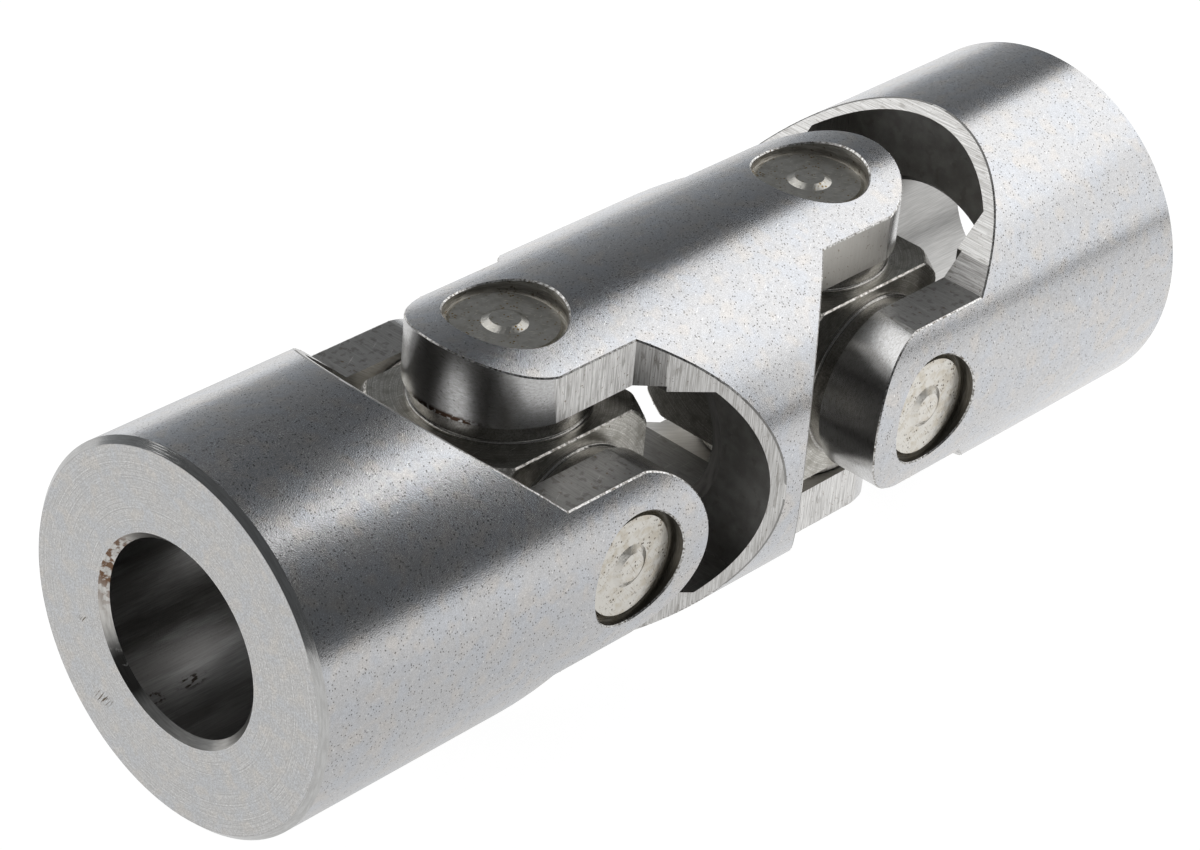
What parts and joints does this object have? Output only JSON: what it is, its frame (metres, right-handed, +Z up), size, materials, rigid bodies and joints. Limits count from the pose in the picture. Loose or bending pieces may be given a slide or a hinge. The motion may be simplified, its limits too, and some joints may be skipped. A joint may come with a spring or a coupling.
{
  "type": "universal joint",
  "caption": "Double universal joint in bare steel, with bored hubs, a centre yoke and crosses turning in needle bearing cups.",
  "frame": {"origin": "on the surface the joint lies on, under the middle of the centre yoke", "axes": "+X along the joint from the near hub to the far hub, +Z up along the centre yoke's pins, Y along the hubs' pins"},
  "size_m": [0.114, 0.036, 0.036],
  "materials": {
    "ground_steel": "ground outside, milled in the forks, with fine pits",
    "cross_steel": "turned steel, satin and oily",
    "cup_steel": "drawn steel with scratches",
    "needle_steel": "ground and polished",
    "seal_ring": "turned steel, oily, with a bright lip"
  },
  "bodies": {
    "near_hub": {"near_hub": "ground_steel", "near_front_cup": "cup_steel", "near_front_needles": "needle_steel", "near_back_cup": "cup_steel", "near_back_needles": "needle_steel"},
    "near_cross": {"near_cross": "cross_steel", "near_front_ring": "seal_ring", "near_back_ring": "seal_ring", "near_top_ring": "seal_ring", "near_bottom_ring": "seal_ring"},
    "centre_yoke": {"centre_yoke": "ground_steel", "near_top_cup": "cup_steel", "near_top_needles": "needle_steel", "near_bottom_cup": "cup_steel", "near_bottom_needles": "needle_steel", "far_top_cup": "cup_steel", "far_top_needles": "needle_steel", "far_bottom_cup": "cup_steel", "far_bottom_needles": "needle_steel"},
    "far_cross": {"far_cross": "cross_steel", "far_front_ring": "seal_ring", "far_back_ring": "seal_ring", "far_top_ring": "seal_ring", "far_bottom_ring": "seal_ring"},
    "far_hub": {"far_hub": "ground_steel", "far_front_cup": "cup_steel", "far_front_needles": "needle_steel", "far_back_cup": "cup_steel", "far_back_needles": "needle_steel"}
  },
  "joints": [
    {"name": "near_hub_pins", "type": "hinge", "parent": "near_hub", "child": "near_cross", "pos_m": [-0.02, 0, 0.018], "axis": [0, 1, 0], "range_deg": [-40, 40]},
    {"name": "near_yoke_pins", "type": "hinge", "parent": "near_cross", "child": "centre_yoke", "pos_m": [-0.02, 0, 0.018], "axis": [0, 0, 1], "range_deg": [-40, 40]},
    {"name": "far_yoke_pins", "type": "hinge", "parent": "centre_yoke", "child": "far_cross", "pos_m": [0.02, 0, 0.018], "axis": [0, 0, 1], "range_deg": [-40, 40]},
    {"name": "far_hub_pins", "type": "hinge", "parent": "far_cross", "child": "far_hub", "pos_m": [0.02, 0, 0.018], "axis": [0, 1, 0], "range_deg": [-40, 40]}
  ]
}
